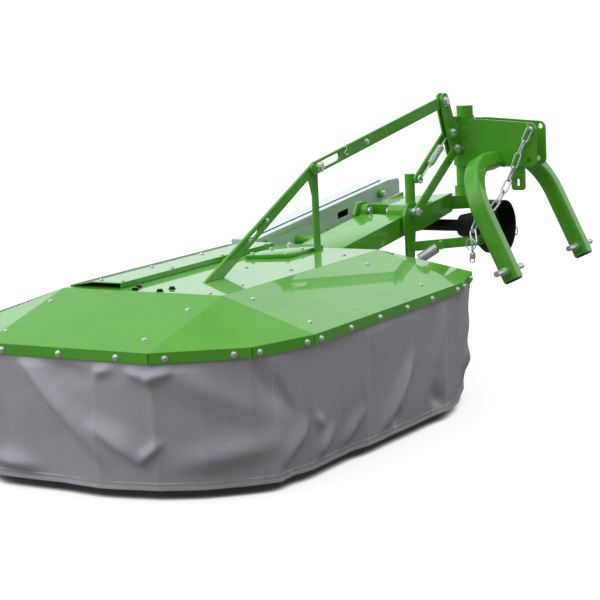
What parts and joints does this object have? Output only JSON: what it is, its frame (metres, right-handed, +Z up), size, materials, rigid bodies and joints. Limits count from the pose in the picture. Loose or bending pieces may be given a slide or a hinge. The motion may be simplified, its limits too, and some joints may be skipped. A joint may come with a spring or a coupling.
{
  "type": "drum mower",
  "caption": "Rear-mounted drum mower with a bevelled cover, hanging curtain, knife drums on gliding saucers, belt drive and a swinging three-point headstock.",
  "frame": {"origin": "middle of the machine's plan box, on the ground under the saucers", "axes": "+X to the outer end of the cutter, +Y forward to the tractor, +Z up"},
  "size_m": [2.8924, 1.24, 1.025],
  "materials": {
    "green_paint": "gloss green paint on sheet and plate steel",
    "grey_paint": "gloss light grey paint on sheet steel",
    "black_paint": "satin black paint",
    "curtain_pvc": "coated grey cloth, soft sheen",
    "black_plastic": "black moulded plastic",
    "bare_steel": "plain steel, worn bright",
    "zinc_steel": "zinc plated steel",
    "cast_iron": "painted cast housing"
  },
  "bodies": {
    "mower_unit": {"front_curtain": "curtain_pvc", "front_panel": "green_paint", "gear_housing": "cast_iron", "guard_bosses": "green_paint", "guard_cover": "grey_paint", "guard_front": "grey_paint", "inner_curtain": "curtain_pvc", "inner_panel": "green_paint", "lift_pin": "zinc_steel", "lift_post": "green_paint", "lift_strut": "green_paint", "main_beam": "green_paint", "outer_curtain": "curtain_pvc", "outer_panel": "green_paint", "pto_bell": "black_plastic", "rear_curtain": "curtain_pvc", "rear_panel": "green_paint", "shaft_housing": "black_paint", "spindle_housings": "cast_iron", "top_hatch": "green_paint", "top_plate": "green_paint"},
    "outer_drum": {"outer_drum": "green_paint", "outer_disc": "green_paint", "outer_knives": "bare_steel"},
    "inner_drum": {"inner_drum": "green_paint", "inner_disc": "green_paint", "inner_knives": "bare_steel"},
    "outer_saucer": {"outer_saucer": "bare_steel"},
    "inner_saucer": {"inner_saucer": "bare_steel"},
    "input_shaft": {"pto_stub": "bare_steel"},
    "swing_arm": {"arm_plates": "green_paint", "arm_box": "green_paint", "hinge_pin": "zinc_steel", "pivot_shaft": "green_paint", "mast_strap": "green_paint", "mast_plates": "green_paint", "mast_pins": "zinc_steel", "mast_braces": "green_paint", "spring_post": "green_paint", "relief_spring": "zinc_steel", "latch_strut": "green_paint", "latch_spring": "zinc_steel"},
    "limiter_link": {"limiter_link": "green_paint"},
    "headstock": {"headstock_plate": "green_paint", "pivot_tube": "green_paint", "right_leg": "green_paint", "left_leg": "green_paint", "lower_link_pins": "zinc_steel", "safety_chain": "zinc_steel", "chain_hook": "zinc_steel", "latch_pin": "zinc_steel", "shaft_rest": "green_paint"}
  },
  "joints": [
    {"name": "beam_hinge", "type": "hinge", "parent": "mower_unit", "child": "swing_arm", "pos_m": [-0.56875, 0, 0.599], "axis": [0, 1, 0], "range_deg": [0, 20]},
    {"name": "link_pivot", "type": "hinge", "parent": "swing_arm", "child": "limiter_link", "pos_m": [-0.84875, 0.114, 0.992], "axis": [0, 1, 0], "range_deg": [-14, 0]},
    {"name": "swing_pivot", "type": "hinge", "parent": "swing_arm", "child": "headstock", "pos_m": [-0.99875, 0.135, 0.78], "axis": [0, 0, 1], "range_deg": [0, 90]},
    {"name": "outer_drum_spin", "type": "hinge", "parent": "mower_unit", "child": "outer_drum", "pos_m": [0.95625, 0, 0.25], "axis": [0, 0, 1], "continuous": true},
    {"name": "inner_drum_spin", "type": "hinge", "parent": "mower_unit", "child": "inner_drum", "pos_m": [0.13625, 0, 0.25], "axis": [0, 0, 1], "continuous": true},
    {"name": "outer_saucer_spin", "type": "hinge", "parent": "outer_drum", "child": "outer_saucer", "pos_m": [0.95625, 0, 0.03], "axis": [0, 0, 1], "continuous": true},
    {"name": "inner_saucer_spin", "type": "hinge", "parent": "inner_drum", "child": "inner_saucer", "pos_m": [0.13625, 0, 0.03], "axis": [0, 0, 1], "continuous": true},
    {"name": "drive_spin", "type": "hinge", "parent": "mower_unit", "child": "input_shaft", "pos_m": [-0.90375, 0, 0.505], "axis": [0, 1, 0], "continuous": true}
  ],
  "couplings": [
    {"joint": "link_pivot", "follows": "beam_hinge", "ratio": -0.678},
    {"joint": "inner_drum_spin", "follows": "outer_drum_spin", "ratio": -1},
    {"joint": "drive_spin", "follows": "outer_drum_spin", "ratio": 0.3}
  ]
}
